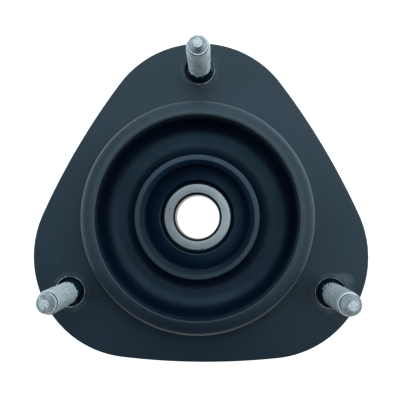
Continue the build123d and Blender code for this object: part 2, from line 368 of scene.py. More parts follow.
class Finish:
    """A material under way. What is the same all over is set on the shader's own sockets."""

    def __init__(self, name, **settings):
        self.material = bpy.data.materials.new(name)
        self.material.use_nodes = True
        self.nodes = self.material.node_tree.nodes
        self.links = self.material.node_tree.links
        self.shader = self.nodes["Principled BSDF"]
        self.colour = None
        for socket, value in settings.items():
            self.paint(socket.replace("_", " "), value)
        coordinates = self.nodes.new("ShaderNodeTexCoord")
        self.place = self.vector("MULTIPLY", coordinates.outputs["Object"], (1 / METRE,) * 3)

    def feed(self, socket, value):
        """Joins an output to a socket, or sets the socket to a plain value."""
        if isinstance(value, bpy.types.NodeSocket):
            self.links.new(value, socket)
        elif socket.type == "RGBA":
            socket.default_value = (*value, 1)
        else:
            socket.default_value = value

    def paint(self, socket, value):
        self.feed(self.shader.inputs[socket], value)

    def number(self, operation, first, second=0.0):
        node = self.nodes.new("ShaderNodeMath")
        node.operation = operation
        self.feed(node.inputs[0], first)
        self.feed(node.inputs[1], second)
        return node.outputs[0]

    def times(self, first, *others):
        """Product of all the shares."""
        product = first
        for other in others:
            product = self.number("MULTIPLY", product, other)
        return product

    def apart_from(self, share):
        """1 where the share is 0, and 0 where it is 1."""
        return self.number("SUBTRACT", 1.0, share)

    def vector(self, operation, first, second=(0, 0, 0)):
        node = self.nodes.new("ShaderNodeVectorMath")
        node.operation = operation
        self.feed(node.inputs[0], first)
        self.feed(node.inputs[1], second)
        return node.outputs["Value" if operation in ("DISTANCE", "LENGTH", "DOT_PRODUCT") else "Vector"]

    def height(self):
        """Height over the plate's face."""
        node = self.nodes.new("ShaderNodeSeparateXYZ")
        self.links.new(self.place, node.inputs[0])
        return node.outputs["Z"]

    def in_plan(self):
        """The place, brought down to the plate's face."""
        return self.vector("MULTIPLY", self.place, (1, 1, 0))

    def radius(self):
        """Distance from the damper's axis."""
        return self.vector("LENGTH", self.in_plan())

    def along(self, azimuth):
        """How far out the place lies on this bearing from the damper's axis."""
        bearing = (cos(radians(azimuth)), sin(radians(azimuth)), 0)
        return self.vector("DOT_PRODUCT", self.place, bearing)

    def from_studs(self):
        """Distance from the nearest stud's axis."""
        flat = self.in_plan()
        nearest = None
        for stud in stud_places():
            away = self.vector("DISTANCE", flat, stud)
            nearest = away if nearest is None else self.number("MINIMUM", nearest, away)
        return nearest

    def upward(self):
        """1 on a level face that looks up, 0 on an upright one."""
        normal = self.nodes.new("ShaderNodeNewGeometry").outputs["Normal"]
        return self.vector("DOT_PRODUCT", normal, (0, 0, 1))

    def noise(self, grain, detail=2.0, roughness=0.5, stretch=(1, 1, 1)):
        """Noise whose blotches are about this many millimetres across, from 0 to 1."""
        node = self.nodes.new("ShaderNodeTexNoise")
        node.inputs["Scale"].default_value = 1 / grain
        node.inputs["Detail"].default_value = detail
        node.inputs["Roughness"].default_value = roughness
        self.links.new(self.vector("MULTIPLY", self.place, stretch), node.inputs["Vector"])
        return node.outputs["Fac"]

    def fade(self, value, start, end, low=0.0, high=1.0):
        """Soft step from low at start to high at end."""
        node = self.nodes.new("ShaderNodeMapRange")
        node.interpolation_type = "SMOOTHSTEP"
        for socket, setting in zip(("Value", "From Min", "From Max", "To Min", "To Max"),
                                   (value, start, end, low, high)):
            self.feed(node.inputs[socket], setting)
        return node.outputs["Result"]

    def band(self, value, middle, half_width, soft):
        """1 within half_width of the middle, fading to 0 over soft."""
        away = self.number("ABSOLUTE", self.number("SUBTRACT", value, middle))
        return self.fade(away, half_width + soft, half_width)

    def spot(self, x, y, size, soft):
        """1 round one place in plan, fading to 0 over soft."""
        return self.fade(self.vector("DISTANCE", self.in_plan(), (x, y, 0)), size + soft, size)

    def mix(self, share, under, over):
        """Colour that goes from under to over as the share rises."""
        node = self.nodes.new("ShaderNodeMix")
        node.data_type = "RGBA"
        for index, value in ((0, share), (6, under), (7, over)):
            self.feed(node.inputs[index], value)
        return node.outputs[2]

    def coat(self, share, colour):
        """Lays a colour over what is there, as thickly as the share says."""
        self.colour = self.mix(share, self.colour, colour)

    def roughen(self, grain, smoothest, roughest):
        """Lets the roughness follow a noise."""
        self.paint("Roughness", self.fade(grain, 0.2, 0.8, smoothest, roughest))

    def relief(self, height, depth):
        """Bumps of this depth in millimetres."""
        node = self.nodes.new("ShaderNodeBump")
        node.inputs["Strength"].default_value = 1.0
        node.inputs["Distance"].default_value = depth * METRE
        self.feed(node.inputs["Height"], height)
        self.paint("Normal", node.outputs["Normal"])

    def done(self):
        """Paints on the colour that the coats have come to."""
        self.paint("Base Color", self.colour)
        return self.material


# Paint of the two pressings

def black_ecoat():
    """Dipped black paint over pressed steel, worn on the rim and round each stud hole, with painted light
    and shade by side, painted highlights on the rim, and painted shade and light in the stud holes.
    """
    finish = Finish("black_ecoat", Specular_Tint=(0.76, 0.95, 1.0))
    height = finish.height()
    paint_clouds_and_light(finish)
    rub_and_light_rim(finish, height)
    wear_and_shade_stud_holes(finish, height)
    mark_paint_and_highlights(finish)
    grain = finish.noise(0.45, detail=4.0, roughness=0.65)
    finish.roughen(grain, 0.38, 0.48)
    finish.relief(grain, 0.012)
    return finish.done()


def paint_clouds_and_light(finish):
    """Clouds in the paint, with painted light at the back and the left and painted shade in front."""
    cloud = finish.noise(26.0, detail=3.0)
    finish.colour = finish.mix(cloud, (0.021, 0.031, 0.044), (0.031, 0.043, 0.059))
    # Painted light at the back of the plate.
    back = finish.times(finish.fade(finish.along(80), 0, 40), finish.fade(finish.along(BACK), 64, 44), 0.6)
    finish.coat(back, (0.042, 0.054, 0.076))
    # Painted shade in front.
    front = finish.fade(finish.along(70), -20, -60, 0.0, 0.5)
    finish.coat(front, (0.008, 0.018, 0.032))
    # Painted light on the left.
    left = finish.fade(finish.along(200), 10, 60, 0.0, 0.4)
    finish.coat(left, (0.026, 0.044, 0.068))


def rub_and_light_rim(finish, height):
    """Painted shade on the front of the rim's bend, paint worn pale on the rim's lip with painted light
    towards the back, and a painted highlight along the bend.
    """
    radius = finish.radius()
    on_rim = finish.times(
        finish.fade(radius, cup_outer_radius + 0.5, cup_outer_radius),
        finish.fade(height, rim_height - 4.0, rim_height - 2.0),
    )
    # Painted shade on the inner side of the bend at the front.
    shaded = finish.times(
        on_rim,
        finish.fade(finish.along(265), 25, 50, 0.0, 0.5),
        finish.fade(radius, cup_outer_radius - 1.9, cup_outer_radius - 3.4),
    )
    finish.coat(shaded, (0.002, 0.010, 0.022))
    # Share that is 1 at the back, for painted light on the lip and the bend.
    back = finish.fade(finish.along(80), -50, 20)
    # Lip worn pale, brighter at the back as painted light.
    lip = finish.times(
        finish.fade(radius, rim_lip_radius + 3.0, rim_lip_radius + 1.4),
        finish.fade(height, rim_height - 1.0, rim_height - 0.5),
        back,
    )
    finish.coat(lip, (0.060, 0.074, 0.088))
    # Painted highlight along the bend, brightest at the back.
    bend = finish.times(
        on_rim,
        finish.band(radius, cup_outer_radius - 0.68, 0.16, 0.30),
        finish.fade(back, 0.0, 0.8, 0.6, 1.0),
    )
    finish.coat(bend, (0.105, 0.120, 0.135))


def wear_and_shade_stud_holes(finish, height):
    """Painted shade in the hole walls, painted light on the plate seen through the back hole, a bright
    line at each hole's edge that is worn steel and painted highlight, and a dull halo round each hole.
    """
    from_stud = finish.from_studs()
    back_hole = stud_places()[0]
    # Painted shade, with less shine, on the hole walls and on the lower plate seen through the holes.
    in_hole = finish.times(
        finish.fade(from_stud, stud_hole_radius + 0.6, stud_hole_radius),
        finish.fade(height, -0.4, -1.0),
    )
    finish.coat(in_hole, (0.001, 0.008, 0.018))
    finish.paint("Specular IOR Level", finish.fade(in_hole, 0.0, 1.0, 0.5, 0.2))
    # Painted light on the lower plate's face seen through the back hole, on its right side.
    painted_light_in_hole = finish.times(in_hole, finish.spot(back_hole.x + 6.2, back_hole.y + 2.2, 1.6, 0.8))
    finish.coat(painted_light_in_hole, (0.34, 0.44, 0.50))
    on_face = finish.fade(height, -0.6, -0.4)
    # Bright line at each hole's edge, worn steel and painted highlight, left out on the back hole's left
    # side.
    no_edge_line = finish.spot(back_hole.x - 7.0, back_hole.y + 1.0, 5.0, 2.5)
    edge = finish.times(
        finish.band(from_stud, stud_hole_radius + 0.1, 0.18, 0.10),
        on_face,
        finish.fade(finish.noise(3.2), 0.36, 0.60, 0.30, 1.0),
        finish.apart_from(no_edge_line),
    )
    finish.coat(edge, (0.80, 0.86, 0.89))
    halo = finish.times(
        finish.band(from_stud, stud_hole_radius + 1.5, 0.4, 0.8),
        on_face,
        finish.fade(finish.noise(7.0), 0.36, 0.60, 0.05, 0.42),
    )
    finish.coat(halo, (0.095, 0.095, 0.115))


def mark_paint_and_highlights(finish):
    """Scuffs, chipped paint and painted highlights at the back hole's edge, on faces that look up."""
    facing = finish.fade(finish.upward(), 0.3, 0.6)
    smear = finish.times(finish.fade(finish.noise(2.2, detail=3.0), 0.30, 0.62, 0.60, 1.0), facing)
    for marks, cover, colour in ((scuffs, smear, (0.12, 0.14, 0.16)), (chips_and_hole_highlights, facing, (0.60, 0.66, 0.69))):
        for x, y, size, soft, share in marks:
            finish.coat(finish.times(finish.spot(x, y, size, soft), share, cover), colour)


# Rubber's finish

def moulded_rubber():
    """Natural rubber out of a sand-blasted mould, with a bloom on its level faces, walls painted nearly
    black as painted shade, and painted light and shade by side.
    """
    finish = Finish("moulded_rubber", Specular_Tint=(0.72, 0.95, 1.0))
    radius = finish.radius()
    height = finish.height()
    bloom = finish.fade(finish.noise(9.0, detail=3.0), 0.3, 0.7, 0.75, 1.0)
    shade_ridge_walls(finish, radius)
    bloom_and_light_groove(finish, radius, height, bloom)
    bloom_and_light_pad(finish, radius, height, bloom)
    bloom_and_light_crest(finish, radius, height, bloom)
    grain = finish.noise(0.35, detail=4.0, roughness=0.7)
    finish.roughen(grain, 0.50, 0.62)
    finish.relief(grain, 0.02)
    return finish.done()


def shade_ridge_walls(finish, radius):
    """Walls painted nearly black as painted shade, with painted light on the ridge's inner slope at the
    back and on its inner wall at the front left.
    """
    # Painted shade: nearly black outside the ridge.
    outside = finish.fade(radius, ridge_outer_radius, ridge_outer_radius + 3)
    # Painted light on the ridge's inner slope at the back.
    slope = finish.times(
        finish.fade(radius, ridge_step_radius - 0.2, ridge_inner_radius - 0.2, 0.35, 1.0),
        finish.fade(radius, ridge_inner_radius + 1.0, ridge_inner_radius + 0.5),
        finish.fade(finish.along(BACK), -5, 18),
    )
    inside = finish.mix(slope, (0.0050, 0.012, 0.027), (0.0120, 0.033, 0.068))
    finish.colour = finish.mix(outside, inside, (0.0018, 0.008, 0.024))
    # Painted light on the ridge's inner wall at the front left.
    wall = finish.times(
        finish.fade(radius, ridge_inner_radius + 0.4, ridge_inner_radius + 0.1),
        finish.fade(finish.along(225), -6, 16),
    )
    finish.coat(wall, (0.015, 0.026, 0.040))


def bloom_and_light_groove(finish, radius, height, bloom):
    """Bloom on the flex groove's floor with painted shade towards the front and painted light along its
    outer edge at the front left, and painted light on the ledge at the rim, strongest at the back right.
    """
    leaning = finish.times(finish.number("MAXIMUM", finish.along(75), 0.0), 0.025)
    outer_edge = finish.number("ADD", radius, leaning)
    floor = finish.times(
        finish.fade(radius, ridge_outer_radius + 4.6, ridge_outer_radius + 6.8),
        finish.fade(outer_edge, groove_outer_radius - 1.2, groove_outer_radius - 4.8),
        bloom,
    )
    # Painted shade on the floor towards the front.
    front = finish.fade(finish.along(FRONT), -groove_outer_radius, groove_outer_radius)
    colour = finish.mix(front, (0.036, 0.066, 0.098), (0.030, 0.049, 0.078))
    # Painted light along the floor's outer edge at the front left.
    painted_light_front_left = finish.times(
        finish.band(radius, groove_outer_radius - 4.6, 0.8, 2.0),
        finish.fade(finish.along(240), 5, 25),
    )
    finish.coat(floor, finish.mix(painted_light_front_left, colour, (0.050, 0.080, 0.118)))
    # Painted light on the ledge under the rim, strongest at the back right.
    ledge = finish.times(
        finish.fade(radius, groove_outer_radius + 0.4, groove_outer_radius + 0.6),
        finish.fade(height, groove_floor + 10.0, groove_floor + 11.0),
        finish.fade(finish.along(35), -30, 20, 0.15, 1.0),
    )
    finish.coat(ledge, (0.014, 0.024, 0.036))


def bloom_and_light_pad(finish, radius, height, bloom):
    """Navy pad inside the ridge, darkened partly as painted shade in its recess, with painted shade and
    less shine in its corner, bloom with a painted highlight on the right, and a worn pale inner edge with
    painted light strongest at the front left.
    """
    # The pad is painted dark navy, partly as painted shade in the recess.
    on_pad = finish.times(
        finish.fade(radius, ridge_step_radius + 0.3, ridge_step_radius),
        finish.fade(height, pad_top + 1.0, pad_top + 0.4),
    )
    finish.coat(on_pad, (0.0008, 0.0060, 0.017))
    # Painted shade: the corner by the ridge keeps the dark navy.
    off_corner = finish.fade(radius, ridge_step_radius - 0.5, seal_seat_radius - 3.0)
    # Painted highlight towards the right.
    right = finish.fade(finish.along(RIGHT), -0.5 * ridge_step_radius, 0.8 * ridge_step_radius)
    colour = finish.mix(right, (0.0010, 0.008, 0.024), (0.015, 0.030, 0.051))
    finish.coat(finish.times(on_pad, off_corner, bloom), colour)
    lining_edge = housing_hole_radius - bond_gap - rubber_lining
    # Inner edge worn pale, with painted light strongest at the front left.
    rubbed_and_lit_edge = finish.times(
        finish.fade(radius, lining_edge + 0.5, lining_edge + 0.25),
        finish.fade(finish.along(235), -6, 10, 0.15, 1.0),
        finish.fade(height, pad_top - 0.6, pad_top - 0.3),
    )
    finish.coat(rubbed_and_lit_edge, (0.045, 0.056, 0.068))
    # Painted shade: less shine in the corner.
    corner = finish.number("SUBTRACT", on_pad, finish.times(off_corner, 0.4))
    finish.paint("Specular IOR Level", finish.fade(corner, 0.0, 1.0, 0.25, 0.05))


def bloom_and_light_crest(finish, radius, height, bloom):
    """Bloom on the ridge's level top, with painted light at the back."""
    crest = finish.times(
        finish.fade(height, ridge_top - 1.0, ridge_top - 0.1),
        finish.fade(radius, ridge_inner_radius + 0.15, ridge_inner_radius + 0.45),
        bloom,
    )
    # Painted light towards the back.
    back = finish.fade(finish.along(60), -0.6 * ridge_outer_radius, ridge_outer_radius)
    finish.coat(crest, finish.mix(back, (0.050, 0.066, 0.083), (0.079, 0.099, 0.129)))


# Zinc of the studs

def zinc_plate():
    """Dull zinc on the studs with painted shade in the thread, painted light on the back stud and painted
    shade on the front two, bright on its level faces as worked zinc and painted light, with a ragged
    collar of paint at the root.
    """
    finish = Finish("zinc_plate")
    height = finish.height()
    from_stud = finish.from_studs()
    right = finish.fade(finish.along(RIGHT), 20, 40)
    cloud = finish.noise(1.6, detail=4.0, roughness=0.6)
    finish.colour = finish.mix(cloud, (0.32, 0.35, 0.37), (0.50, 0.54, 0.56))
    darken_thread(finish, from_stud, height)
    shade_point(finish, height, right)
    level = brighten_level_faces(finish, height, right)
    bare = paint_root(finish, from_stud, height)
    scrape_root(finish, height)
    finish.paint("Metallic", finish.times(bare, finish.fade(level, 0.0, 1.0, 0.5, 0.2)))
    finish.paint("Roughness", finish.fade(cloud, 0.25, 0.75, 0.50, 0.64))
    finish.relief(finish.noise(0.3, detail=3.0), 0.01)
    return finish.done()


def darken_thread(finish, from_stud, height):
    """Painted shade in the thread's roots and on some of its turns, with painted light on the back stud
    and painted shade on the two front studs.
    """
    painted_shade_grey = (0.12, 0.13, 0.14)
    # Painted shade in the thread's roots.
    root = finish.times(
        finish.fade(from_stud, thread_radius - 0.25, thread_root_radius),
        finish.fade(height, thread_top - 1.0, thread_top - 1.3),
    )
    finish.coat(root, painted_shade_grey)
    backward = finish.along(BACK)
    # Painted light on the back stud, then painted shade on the two front studs.
    finish.coat(finish.fade(backward, 30, 50, 0.0, 0.5), (0.64, 0.68, 0.70))
    finish.coat(finish.fade(backward, 0, -20, 0.0, 0.44), painted_shade_grey)
    # Painted shade on the flanks of some turns of the thread.
    streaks = finish.noise(1.2, detail=0.0, stretch=(0.14, 0.14, 1))
    turns = finish.times(
        finish.fade(streaks, 0.46, 0.60, 0.0, 0.6),
        finish.fade(height, thread_top - 1.6, thread_top - 2.2),
    )
    finish.coat(turns, (0.09, 0.10, 0.11))


def shade_point(finish, height, right):
    """Clouded zinc on the point, darkened as painted shade, a dark land under it and a painted highlight
    on the thread's lead, brightest on the right stud.
    """
    # Patina clouds on the point, darker than the shank as painted shade.
    point = finish.fade(height, point_bottom - 0.1, point_bottom + 0.2)
    patina = finish.fade(finish.noise(2.6), 0.38, 0.62)
    finish.coat(point, finish.mix(patina, (0.21, 0.24, 0.26), (0.38, 0.42, 0.44)))
    # Painted highlight on the thread's lead, brightest on the right stud.
    lead = finish.band(height, thread_top - 0.15, 0.2, 0.15)
    finish.coat(lead, finish.mix(right, (0.60, 0.64, 0.66), (0.80, 0.84, 0.86)))
    land = finish.band(height, point_bottom - land_length / 2, land_length / 2 - 0.05, 0.1)
    finish.coat(land, (0.045, 0.052, 0.058))


def brighten_level_faces(finish, height, right):
    """Bright zinc where the face is level, as worked zinc and painted light on faces that look up, with
    pits all over. Gives back how level it is.
    """
    shoulder = finish.times(right, finish.fade(height, stud_height - 0.5, stud_height - 1.0, 0.0, 0.5))
    # Faces that look up get worked bright zinc and painted light.
    level = finish.times(finish.fade(finish.upward(), 0.75, 0.95), finish.apart_from(shoulder))
    worked = finish.fade(finish.noise(1.0, detail=3.0, roughness=0.6), 0.36, 0.58)
    finish.coat(level, finish.mix(worked, (0.66, 0.70, 0.71), (0.97, 0.99, 1.0)))
    pitted = finish.fade(finish.noise(0.8, detail=3.0), 0.58, 0.70, 0.0, 0.8)
    finish.coat(pitted, (0.26, 0.28, 0.29))
    on_tip = finish.fade(height, stud_height - 0.4, stud_height - 0.2)
    finish.coat(finish.times(finish.spot(*stud_pit, 0.25, 0.2), on_tip), (0.05, 0.055, 0.06))
    return level


def paint_root(finish, from_stud, height):
    """Paint up to a ragged edge, with the knurl's teeth left bare. Gives back what is bare."""
    ragged = finish.times(finish.noise(1.8, detail=4.0, roughness=0.6), 7.0)
    over_edge = finish.number("SUBTRACT", height, finish.number("ADD", ragged, 0.7))
    teeth = finish.times(
        finish.fade(from_stud, knurl_radius - 0.22, knurl_radius - 0.10),
        finish.fade(height, knurl_top - 0.3, knurl_top - 0.1),
    )
    bare = finish.number("MAXIMUM", finish.fade(over_edge, -0.15, 0.2), teeth)
    finish.coat(finish.apart_from(bare), (0.001, 0.008, 0.016))
    finish.paint("Specular IOR Level", finish.fade(bare, 0.0, 1.0, 0.25, 0.5))
    finish.paint("Specular Tint", finish.mix(bare, (0.30, 0.80, 1.0), (1.0, 1.0, 1.0)))
    return bare


def scrape_root(finish, height):
    """Bright scrapes in the paint of the right stud, one over each of some teeth."""
    right_stud = stud_places()[-1]
    scrapes = 0.0
    for tooth in range(scraped_teeth):
        turn = radians(first_scrape_angle + tooth * 360 / knurl_teeth)
        x = right_stud.x + scrape_radius * cos(turn)
        y = right_stud.y + scrape_radius * sin(turn)
        scrapes = finish.number("MAXIMUM", scrapes, finish.spot(x, y, 0.25, 0.25))
    finish.coat(finish.times(scrapes, finish.band(height, scrape_height, 0.35, 0.3)), (1.0, 1.0, 1.0))


# Finishes of the bearing and its housing

def ground_ring_steel():
    """Ground faces of the bearing's rings, with painted light towards the front right, painted shade at
    the front, and painted shade on the bore and its chamfers.
    """
    finish = Finish("ground_ring_steel", Metallic=1.0)
    radius = finish.radius()
    cloud = finish.noise(2.5, detail=3.0)
    # Painted light towards the front right.
    front_right = finish.fade(finish.along(-45), -bearing_bore_radius, bearing_bore_radius)
    finish.colour = finish.mix(front_right, (0.55, 0.55, 0.565), (0.84, 0.86, 0.87))
    # Painted shade at the front.
    front = finish.fade(finish.along(275), 0.7 * bearing_bore_radius, inner_shoulder_radius, 0.0, 0.35)
    finish.coat(front, (0.42, 0.40, 0.41))
    finish.coat(finish.fade(cloud, 0.3, 0.7, 0.0, 0.16), (0.40, 0.41, 0.42))
    for x, y in ring_pits:
        finish.coat(finish.spot(x, y, 0.22, 0.18), (0.03, 0.035, 0.04))
    # Painted shade on the bore and its chamfers.
    chamfer_edge = bearing_bore_radius + bore_chamfer
    in_bore = finish.fade(radius, chamfer_edge + 0.02, chamfer_edge - 0.1)
    finish.coat(in_bore, (0.045, 0.050, 0.055))
    from_middle = finish.number("ABSOLUTE", finish.number("SUBTRACT", finish.height(), bearing_middle))
    bore_end = bearing_width / 2 - bore_chamfer
    past_bore = finish.fade(from_middle, bore_end - 0.05, bore_end + 0.1)
    finish.coat(finish.times(past_bore, in_bore), (0.035, 0.042, 0.048))
    finish.roughen(cloud, 0.32, 0.42)
    grinding_marks = finish.number("SINE", finish.times(radius, 42.0))
    finish.relief(grinding_marks, 0.0015)
    return finish.done()


def speckled(name, pattern, colours, roughness, depth=None, **settings):
    """Finish whose colour, roughness and bumps all follow one noise."""
    finish = Finish(name, **settings)
    grain = finish.noise(**pattern)
    finish.colour = finish.mix(grain, *colours)
    finish.roughen(grain, *roughness)
    if depth:
        finish.relief(grain, depth)
    return finish.done()


def phosphated_steel():
    """Dark grey crystal coat on the housing and its retainer."""
    return speckled("phosphated_steel", {"grain": 0.5, "detail": 4.0, "roughness": 0.7},
                    ((0.030, 0.032, 0.034), (0.075, 0.078, 0.080)), (0.48, 0.66), 0.012, Metallic=0.6)


def polished_ball_steel():
    """Lapped bearing steel with the faintest clouding."""
    return speckled("polished_ball_steel", {"grain": 1.2},
                    ((0.66, 0.67, 0.68), (0.72, 0.73, 0.74)), (0.06, 0.12), Metallic=1.0)


def cage_strip_steel():
    """Cold-rolled strip of the cage and its rivets."""
    return speckled("cage_strip_steel", {"grain": 0.6, "detail": 3.0, "stretch": (1, 1, 4)},
                    ((0.42, 0.42, 0.41), (0.55, 0.54, 0.52)), (0.28, 0.42), Metallic=1.0)


def seal_rubber():
    """Black rubber bonded to the bearing's seals."""
    return speckled("seal_rubber", {"grain": 0.4, "detail": 3.0},
                    ((0.002, 0.004, 0.010), (0.004, 0.008, 0.018)), (0.40, 0.55), 0.01,
                    Specular_Tint=(0.40, 0.72, 1.0), Specular_IOR_Level=0.3)


# Bench tools: what every piece is shaped with

def clear_selection():
    """Deselects every object."""
    bpy.ops.object.select_all(action="DESELECT")


def edit_mesh(editing=True):
    """Goes into edit mode, or out of it."""
    bpy.ops.object.mode_set(mode="EDIT" if editing else "OBJECT")


def pick(kind, wanted):
    """In edit mode, selects the verts, edges or faces that pass the test, and nothing else."""
    bpy.ops.mesh.select_mode(type={"verts": "VERT", "edges": "EDGE", "faces": "FACE"}[kind])
    bpy.ops.mesh.select_all(action="DESELECT")
    skin = bmesh.from_edit_mesh(bpy.context.object.data)
    for item in getattr(skin, kind):
        if wanted(item):
            item.select_set(True)
    bmesh.update_edit_mesh(bpy.context.object.data)


def point_at(place):
    """Adds a small plane, melts it into one point and carries that to its place."""
    bpy.ops.mesh.select_mode(type="VERT")
    bpy.ops.mesh.primitive_plane_add(size=1)
    bpy.ops.mesh.merge(type="CENTER")
    bpy.ops.transform.translate(value=place)


def start_piece():
    """Opens a new mesh with nothing in it but what is drawn next."""
    clear_selection()
    bpy.ops.mesh.primitive_plane_add(size=1)
    edit_mesh()
    bpy.ops.mesh.delete(type="VERT")
    return bpy.context.object


def line_to(start, end):
    """Draws on from the selected point."""
    bpy.ops.mesh.extrude_vertices_move(TRANSFORM_OT_translate={"value": end - start})


def join_points():
    """Makes one point of those that lie on each other, and leaves all of them selected."""
    bpy.ops.mesh.select_all(action="SELECT")
    bpy.ops.mesh.remove_doubles(threshold=WELD)


def round_corner(before, corner, after, rounding):
    """Rounds one corner of a drawn line."""
    first = (before - corner).normalized()
    second = (after - corner).normalized()
    opening = acos(max(-1.0, min(1.0, first.dot(second))))
    pick("verts", lambda point: (point.co - corner).length < WELD)
    bpy.ops.mesh.bevel(
        offset=rounding / tan(opening / 2),
        segments=max(3, ceil(degrees(pi - opening) / CORNER_SEGMENT)),
        profile=0.5,
        affect="VERTICES",
    )


def draw_profile(corners, closed=False):
    """Draws a line through (radius, height) corners; a third value rounds the corner."""
    places = [Vector((corner[0], 0, corner[1])) for corner in corners]
    point_at(places[0])
    for start, end in zip(places, places[1:]):
        line_to(start, end)
    if closed:
        line_to(places[-1], places[0])
        join_points()
    count = len(places)
    for index, corner in enumerate(corners):
        if len(corner) > 2:
            before = places[index - 1]
            after = places[(index + 1) % count]
            round_corner(before, places[index], after, corner[2])


def spin_round(steps):
    """Spins all that is drawn about the mount's axis and closes the seam."""
    bpy.ops.mesh.select_all(action="SELECT")
    bpy.ops.mesh.spin(steps=steps, angle=FULL_TURN, center=(0, 0, 0), axis=(0, 0, 1))
    weld_skin()


def weld_skin():
    """Closes the seams and turns every face outwards."""
    join_points()
    bpy.ops.mesh.normals_make_consistent(inside=False)


def turned(corners, steps=PLATE_STEPS):
    """Solid of revolution from the corners of its section."""
    piece = start_piece()
    draw_profile(corners, closed=True)
    spin_round(steps)
    edit_mesh(False)
    return piece


def apply_modifier(piece, kind, **settings):
    """Adds a modifier and applies it."""
    modifier = piece.modifiers.new(kind.lower(), kind)
    for setting, value in settings.items():
        setattr(modifier, setting, value)
    bpy.context.view_layer.objects.active = piece
    bpy.ops.object.modifier_apply(modifier=modifier.name)


def finish_piece(piece, name, material, body, slot, *nodes, smooth=SMOOTH_ANGLE):
    """Brings a modelled piece to metres, gives it its finish and puts it on its body."""
    clear_selection()
    piece.select_set(True)
    bpy.context.view_layer.objects.active = piece
    piece.scale = (METRE,) * 3
    bpy.ops.object.transform_apply(location=True, rotation=True, scale=True)
    bpy.ops.object.shade_smooth_by_angle(angle=radians(smooth))
    piece.name = name
    piece.data.name = name
    piece.data.materials.clear()
    piece.data.materials.append(material)
    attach(piece, body)
    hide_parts(*nodes)


# Places

def polar(radius, angle, height=0.0):
    """Place at this distance from the bolt circle's centre."""
    turn = radians(angle)
    return Vector((bolt_circle_offset + radius * cos(turn), radius * sin(turn), height))


def stud_places():
    """Where the studs' axes pass through the plate: back, left and right."""
    step = 360 / stud_count
    return [polar(bolt_circle_radius, first_stud_angle + step * index) for index in range(stud_count)]


# The two pressings

def draw_outline(inset, height):
    """Sweeps one point round the plate: a corner arc at each stud, and a bowed side after it."""
    half_turn = 180 / stud_count
    slant = cos(radians(half_turn))
    corner = (plate_side - side_bow - plate_apex * slant) / (1 - slant)
    centre = plate_apex - corner
    side_arc = plate_side**2 + centre**2 - corner**2 - 2 * centre * plate_side * slant
    side_arc /= 2 * side_bow
    away = polar(plate_side - side_arc, half_turn) - polar(0, 0)
    spread = degrees(atan2(-away.y, centre - away.x))
    angle = first_stud_angle
    start = polar(centre, angle) - polar(0, 0)
    start += polar(corner - inset, angle - spread, height)
    point_at(start)
    for _ in range(stud_count):
        sweep(polar(centre, angle, height), 2 * spread, CORNER_STEPS)
        side_centre = polar(plate_side - side_arc, angle + half_turn, height)
        sweep(side_centre, 2 * (half_turn - spread), SIDE_STEPS)
        angle += 2 * half_turn


def sweep(centre, angle, steps):
    """Carries the selected point round a centre, leaving a line behind it."""
    bpy.ops.mesh.spin(steps=steps, angle=-radians(angle), center=centre, axis=(0, 0, 1))


def pressing(face, side, inset, cup_corners, hole_radius):
    """Plate with a cup drawn in it: the outer skin first, then its thickness and its edges.

    face is the height of the flange's outer face, and side is 1 for a cup drawn up and -1 for down."""
    piece = start_piece()
    draw_profile(cup_corners)
    spin_round(PLATE_STEPS)
    bpy.ops.mesh.select_mode(type="VERT")
    bpy.ops.mesh.select_all(action="DESELECT")
    draw_outline(inset, face)
    for place in stud_places():
        place.z = face
        bpy.ops.mesh.primitive_circle_add(vertices=HOLE_STEPS, radius=hole_radius, location=place)
    join_points()
    pick("edges", lambda edge: not edge.link_faces[1:] and all(
        abs(point.co.z - face) < WELD and point.co.xy.length > cup_foot_radius - WELD
        for point in edge.verts))
    bpy.ops.mesh.fill(use_beauty=True)
    weld_skin()
    pick("faces", lambda part: on_flange(part, face))
    bpy.ops.mesh.inset(thickness=flange_margin, use_boundary=True, use_even_offset=True)
    skin = bmesh.from_edit_mesh(piece.data)
    flat = next(part for part in skin.faces if on_flange(part, face))
    if flat.normal.z * side < 0:
        bpy.ops.mesh.select_all(action="SELECT")
        bpy.ops.mesh.flip_normals()
    edit_mesh(False)
    apply_modifier(piece, "SOLIDIFY", thickness=sheet, offset=-1, use_even_offset=True,
                   use_quality_normals=True)
    return piece


def on_flange(part, face):
    """Whether a face of the skin belongs to the flat flange at this height."""
    middle = part.calc_center_median()
    return abs(middle.z - face) < WELD and middle.xy.length > cup_foot_radius - WELD


def is_sharp(edge):
    """Whether two faces meet at the edge at more than 60 degrees."""
    return len(edge.link_faces) == 2 and edge.calc_face_angle() > radians(60)


def soften(wanted, width, segments):
    """Rounds the sharp edges that pass the test."""
    pick("edges", lambda edge: is_sharp(edge) and wanted((edge.verts[0].co + edge.verts[1].co) / 2))
    bpy.ops.mesh.bevel(offset=width, segments=segments, profile=0.5, affect="EDGES")


def near_hole(place):
    """Whether the place lies at a stud's hole."""
    reach = stud_hole_radius + 1
    return any((place.xy - hole.xy).length < reach for hole in stud_places())


